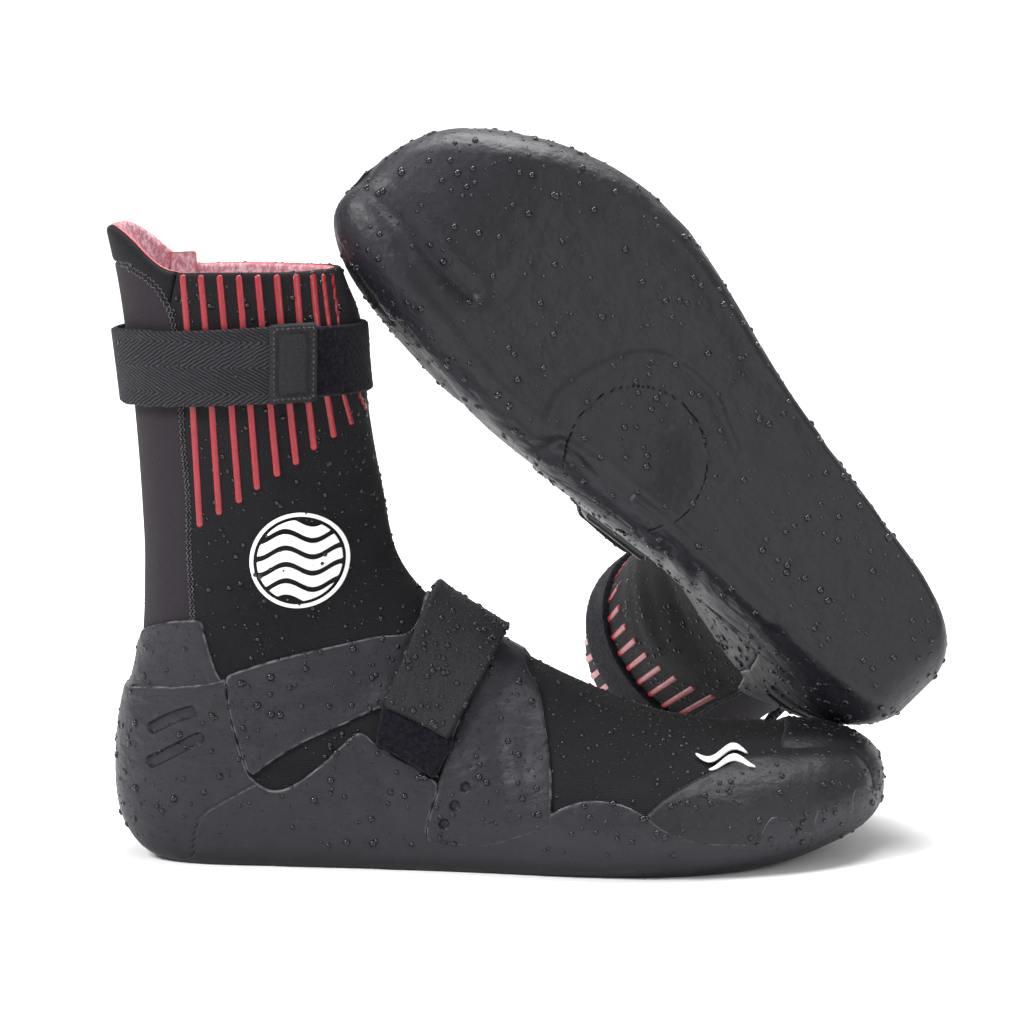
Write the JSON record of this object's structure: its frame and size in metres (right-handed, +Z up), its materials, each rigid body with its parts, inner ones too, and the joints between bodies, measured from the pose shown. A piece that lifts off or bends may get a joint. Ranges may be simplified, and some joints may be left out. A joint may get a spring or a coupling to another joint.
{
  "type": "neoprene boots",
  "caption": "Pair of pull-on neoprene boots with rubber foot overlays, split toe, instep strap, ankle strap and open fleece-lined cuffs; one stands, the other leans on it.",
  "frame": {"origin": "on the ground under the standing boot's sole, on its centre line, 120 mm in front of the back of its heel", "axes": "+X from the standing boot's heel to its toe, +Z up, +Y to its medial side, where the leaning boot's cuff lies"},
  "size_m": [0.3223, 0.2928, 0.2798],
  "materials": {
    "rubber": "semi-matte moulded rubber",
    "jersey": "fine knit on neoprene foam",
    "back_jersey": "ribbed knit on neoprene foam",
    "fleece": "soft heather fleece",
    "webbing": "woven webbing",
    "pile": "fuzzy loop pile",
    "plastic": "satin moulded plastic"
  },
  "bodies": {
    "right_foot": {"right_outsole": "rubber", "right_arch_pad": "rubber", "right_heel_cup": "rubber", "right_lateral_rand": "rubber", "right_medial_rand": "rubber", "right_toe_bumper": "rubber", "right_toe_cap": "rubber", "right_lateral_wing": "rubber", "right_medial_wing": "rubber", "right_lateral_ankle_wrap": "rubber", "right_medial_ankle_wrap": "rubber", "right_achilles_patch": "rubber", "right_vamp": "jersey", "right_quarter": "jersey", "right_foot_lining": "fleece", "right_insole": "fleece", "right_ankle_sleeve": "jersey", "right_instep_loop_strip": "pile", "right_instep_strap_root": "rubber", "right_strap_ring": "plastic"},
    "right_shaft": {"right_back_panel": "back_jersey", "right_lateral_shaft_panel": "jersey", "right_medial_shaft_panel": "jersey", "right_shaft_lining": "fleece", "right_ankle_loop_strip": "pile", "right_ankle_webbing_sewn": "webbing"},
    "right_instep_strap": {"right_instep_strap": "rubber"},
    "right_ankle_strap": {"right_ankle_strap": "webbing", "right_ankle_strap_tab": "rubber"},
    "right_pull_tab": {"right_pull_tab": "jersey"},
    "left_foot": {"left_outsole": "rubber", "left_arch_pad": "rubber", "left_heel_cup": "rubber", "left_lateral_rand": "rubber", "left_medial_rand": "rubber", "left_toe_bumper": "rubber", "left_toe_cap": "rubber", "left_lateral_wing": "rubber", "left_medial_wing": "rubber", "left_lateral_ankle_wrap": "rubber", "left_medial_ankle_wrap": "rubber", "left_achilles_patch": "rubber", "left_vamp": "jersey", "left_quarter": "jersey", "left_foot_lining": "fleece", "left_insole": "fleece", "left_ankle_sleeve": "jersey", "left_instep_loop_strip": "pile", "left_instep_strap_root": "rubber", "left_strap_ring": "plastic"},
    "left_shaft": {"left_back_panel": "back_jersey", "left_lateral_shaft_panel": "jersey", "left_medial_shaft_panel": "jersey", "left_shaft_lining": "fleece", "left_ankle_loop_strip": "pile", "left_ankle_webbing_sewn": "webbing"},
    "left_instep_strap": {"left_instep_strap": "rubber"},
    "left_ankle_strap": {"left_ankle_strap": "webbing", "left_ankle_strap_tab": "rubber"},
    "left_pull_tab": {"left_pull_tab": "jersey"}
  },
  "joints": [
    {"name": "left_boot_lift", "type": "slide", "parent": "right_foot", "child": "left_foot", "axis": [0, 0, 1], "range_m": [0, 0.3]},
    {"name": "right_ankle_flex", "type": "hinge", "parent": "right_foot", "child": "right_shaft", "pos_m": [-0.065, 0, 0.108], "axis": [0, 1, 0], "range_deg": [-15, 0], "stiffness_Nm_per_rad": 4, "deforming": ["right_ankle_sleeve"]},
    {"name": "right_instep_strap_peel", "type": "hinge", "parent": "right_foot", "child": "right_instep_strap", "pos_m": [0.015, 0.0039, 0.0992], "axis": [-0.8189, 0, 0.5739], "range_deg": [0, 80]},
    {"name": "right_ankle_strap_peel", "type": "hinge", "parent": "right_shaft", "child": "right_ankle_strap", "pos_m": [-0.09785, -0.0365, 0.191], "axis": [0, 0, -1], "range_deg": [0, 100]},
    {"name": "right_pull_tab_bend", "type": "hinge", "parent": "right_shaft", "child": "right_pull_tab", "pos_m": [-0.1186, 0, 0.2262], "axis": [0, -1, 0], "range_deg": [0, 40], "stiffness_Nm_per_rad": 0.08},
    {"name": "left_ankle_flex", "type": "hinge", "parent": "left_foot", "child": "left_shaft", "pos_m": [0.12636, 0.11428, 0.08444], "axis": [0.6952, 0.3325, 0.6373], "range_deg": [0, 12], "stiffness_Nm_per_rad": 4, "deforming": ["left_ankle_sleeve"]},
    {"name": "left_instep_strap_peel", "type": "hinge", "parent": "left_foot", "child": "left_instep_strap", "pos_m": [0.07411, 0.09831, 0.14365], "axis": [-0.3612, -0.6049, 0.7097], "range_deg": [0, 80]},
    {"name": "left_ankle_strap_peel", "type": "hinge", "parent": "left_shaft", "child": "left_ankle_strap", "pos_m": [0.1421, 0.20518, 0.05633], "axis": [-0.3605, 0.8794, -0.3109], "range_deg": [0, 100]},
    {"name": "left_pull_tab_bend", "type": "hinge", "parent": "left_shaft", "child": "left_pull_tab", "pos_m": [0.11996, 0.21911, 0.00819], "axis": [-0.6431, -0.4757, -0.6001], "range_deg": [0, 40], "stiffness_Nm_per_rad": 0.08}
  ]
}
